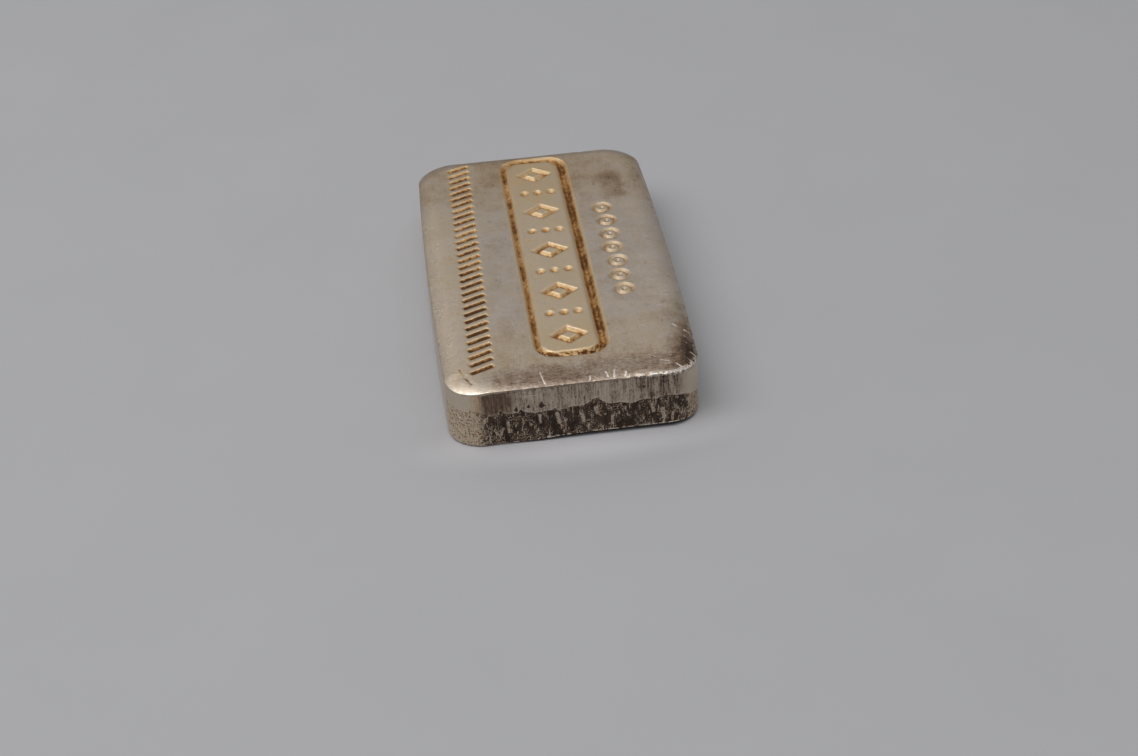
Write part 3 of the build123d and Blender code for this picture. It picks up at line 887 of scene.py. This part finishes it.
def silver():
    """Worn, toned silver: satin on the top, golden to red-brown in what was struck, burnished along the rim,
    fluted above the torn line of the ends and almost black below it, and clean at the ends' round
    corners."""
    material = bpy.data.materials.new("silver")
    material.use_nodes = True
    fin = Finish(material)
    ground, struck_in, wall = ground_film(fin), struck_film(fin), wall_film(fin)

    bright = fin.scores(BRIGHT_SCORES)
    rubbing = fin.most(fin.step(fin.y, 11.0, 15.0, 0.0, 0.4), fin.step(fin.y, -8.0, -14.0, 0.1, 1.0))
    rubbing = fin.product(rubbing, fin.step(fin.faces_end, 0.1, 0.5, 0.3, 1.0))
    rubbed = fin.product(fin.between(fin.rim, (-0.8, -0.3), (0.28, 0.10)), rubbing,
                         fin.mask("mottle", Size=0.6, High=0.60))
    unspeckled = fin.less(fin.product(fin.speckle, fin.broken))
    clean_corner = fin.product(fin.round_corner, fin.on_wall, unspeckled,
                               fin.step(fin.y, -5.0, 5.0, 0.15, 0.26))
    bare = fin.most((bright, 0.7), (rubbed, 0.8), (fin.burr, 0.5), clean_corner)
    # More film on the near end's roll just above the rim, darkening it, except towards the +Y corner
    darkened_roll = fin.product(fin.between(fin.rim, (-2.6, -1.0), (0.4, 0.2)), fin.near,
                            fin.step(fin.y, 14.0, 9.0), 0.17)
    film = fin.total((fin.most(ground, struck_in), fin.on_top), (wall, fin.on_wall), darkened_roll)
    film = fin.product(film, fin.less(bare))

    side_gold = fin.product(fin.step(fin.x, -34.0, -28.0, 0.4, 0.85),
                            fin.step(fin.far, 0.0, 1.0, 1.0, 0.3))
    warm = fin.product(fin.step(fin.inset, -0.5, 0.0), fin.step(fin.y, -7.5, -8.5, 1.0, 0.55))
    warm = fin.most(warm, fin.in_frame, (fin.at_side, side_gold), (fin.near_ground, 0.3), (fin.far, 0.3))
    rust = fin.mask("mottle", Size=1.6, Low=0.46, High=0.58)
    rusty = fin.total((fin.broken, rust, 0.16), (clean_corner, 3.4),
                      (fin.red_block, fin.less(fin.broken), 0.12))
    gold = fin.total((fin.most(warm, fin.step(ground, 0.35, 0.65, 0.0, 0.2)), fin.on_top),
                     (rusty, fin.on_wall, fin.less(fin.burr)))
    colour = fin.effect(fin.groups["tarnish"], "Colour", Film=film, Gold=gold)
    violet = fin.product(fin.mask("mottle", Size=2.8, Low=0.44, High=0.62), fin.on_top, fin.less(warm),
                         fin.step(film, 0.45, 0.2), 0.45)
    colour = fin.blend(violet, colour, VIOLET_GREY)
    colour = fin.blend(fin.product(bare, 0.7), colour, FRESH_SILVER)

    below = fin.product(fin.broken, fin.on_wall)
    worn_rim = fin.product(rubbed, fin.grain(fin.place, 0.28), fin.step(fin.y, 5.0, 0.0, 0.015, 0.13),
                           fin.sheared)
    height = fin.total(
        (fin.grain(fin.place, 0.16), 0.006), (fin.grain(fin.place, 0.9), 0.018),
        (fin.brushed, fin.near, 0.005), (fin.scratched, fin.on_top, -0.007), (fin.specks, -0.01),
        (bright, -0.025), worn_rim, (fin.struck, fin.grain(fin.place, 0.22), 0.035),
        (fin.flutes, fin.sheared, fin.on_wall, 0.012), (fin.fine_flutes, fin.sheared, fin.on_wall, 0.006),
        (below, fin.crumbs, 0.06), (below, fin.tears, 0.06), (below, -0.08), (below, fin.speckle, -0.04))
    bump = fin.add("ShaderNodeBump", {"Height": height, "Distance": MM, "Strength": 1.0})
    dull = fin.total(0.31, (fin.lumps, 0.06), (fin.struck, 0.26), (below, 0.2), (fin.scratched, -0.05),
                     (bare, -0.1), (ground, 0.12))

    shader = material.node_tree.nodes["Principled BSDF"]
    shader.inputs["Metallic"].default_value = 1.0
    fin.feed(shader.inputs["Base Color"], colour)
    fin.feed(shader.inputs["Roughness"], dull)
    fin.feed(shader.inputs["Normal"], bump.outputs["Normal"])
    return material


def paper():
    """The plain pale floor, in metres: matt grey with a faint soft mottle, and paler before the near end,
    where a pool of painted light stands for light the bar reflects onto it.
    """
    material = bpy.data.materials.new("floor")
    material.use_nodes = True
    wire = Wiring(material.node_tree)
    place = wire.add("ShaderNodeTexCoord", {}).outputs["Object"]
    cloud = wire.grain(place, 0.03, 3.0)
    middle, reach = (-0.0353, -0.001, 0), (0.0082, 0.030, 1.0)
    off = wire.vector("DIVIDE", wire.vector("SUBTRACT", place, middle), reach)
    # A pool of painted light before the near end, for light the bar reflects onto the floor
    paler = wire.step(wire.vector("LENGTH", off, output="Value"), 1.0, 0.1)
    grey = wire.blend(cloud, *FLOOR_GREYS)
    shader = material.node_tree.nodes["Principled BSDF"]
    shader.inputs["Roughness"].default_value = 0.85
    wire.feed(shader.inputs["Base Color"], wire.blend(paler, grey, FLOOR_PAINTED_LIGHT))
    return material


def make_camera():
    """The camera looks along the bar from its near end, aimed at a point on the floor."""
    level = cos(CAMERA_PITCH)
    view = Vector((level * cos(CAMERA_YAW), level * sin(CAMERA_YAW), -sin(CAMERA_PITCH)))
    right = view.cross(Vector((0, 0, 1))).normalized()
    up = right.cross(view)
    lean, upright = sin(CAMERA_ROLL), cos(CAMERA_ROLL)
    right, up = upright * right + lean * up, upright * up - lean * right
    lens = bpy.data.cameras.new("camera")
    lens.lens = FOCAL_PIXELS / PHOTO_PIXELS_WIDE * lens.sensor_width
    lens.clip_start, lens.clip_end = 0.01, 20
    camera = in_scene("camera", lens)
    turn = Matrix((right, up, -view)).transposed().to_4x4()
    place = (Vector(AIM) - view * CAMERA_DISTANCE) * MM
    camera.matrix_world = Matrix.Translation(place) @ turn
    bpy.context.scene.camera = camera


def make_lamp(name, toward, distance, size, radiance):
    """A square soft lamp in a given direction from the bar, in metres, with power radiance x pi x area."""
    lamp = bpy.data.lights.new(name, "AREA")
    lamp.shape, lamp.size = "SQUARE", size
    lamp.energy = radiance * pi * size**2
    made = in_scene(name, lamp)
    spot = Vector(toward).normalized() * distance
    made.location = spot
    made.rotation_euler = (-spot).to_track_quat("-Z", "Y").to_euler()
    made.visible_camera = False


def make_lights():
    """A surround that is brighter overhead and a little brighter on the left, and darker low down behind the
    camera, a soft key lamp high on the left, and a weaker one high behind the camera."""
    world = bpy.data.worlds.new("surround")
    world.use_nodes = True
    wire = Wiring(world.node_tree)
    toward = wire.add("ShaderNodeTexCoord", {}).outputs["Generated"]
    along, across, height = wire.add("ShaderNodeSeparateXYZ", {0: toward}).outputs
    colour = wire.blend(wire.step(height, -0.05, 1.0), SURROUND_LOW, SURROUND_HIGH)
    behind = wire.product(wire.step(along, -0.15, -0.7), wire.step(height, 0.95, 0.3))
    background = world.node_tree.nodes["Background"]
    wire.feed(background.inputs["Color"], colour)
    wire.feed(background.inputs["Strength"], wire.total(1.02, (across, 0.14), (behind, -0.78)))
    bpy.context.scene.world = world
    make_lamp("key", (-0.08, 0.48, 0.87), 0.8, 0.6, 2.2)
    make_lamp("front", (-0.42, 0.08, 0.90), 0.9, 0.5, 1.55)


bpy.context.scene.view_settings.view_transform = "Standard"
make_camera()
make_lights()
floor = make_floor()
floor.data.materials.append(paper())
bar = make_bar()
bar.data.materials.append(silver())
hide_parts(NODE)
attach(bar, "root")
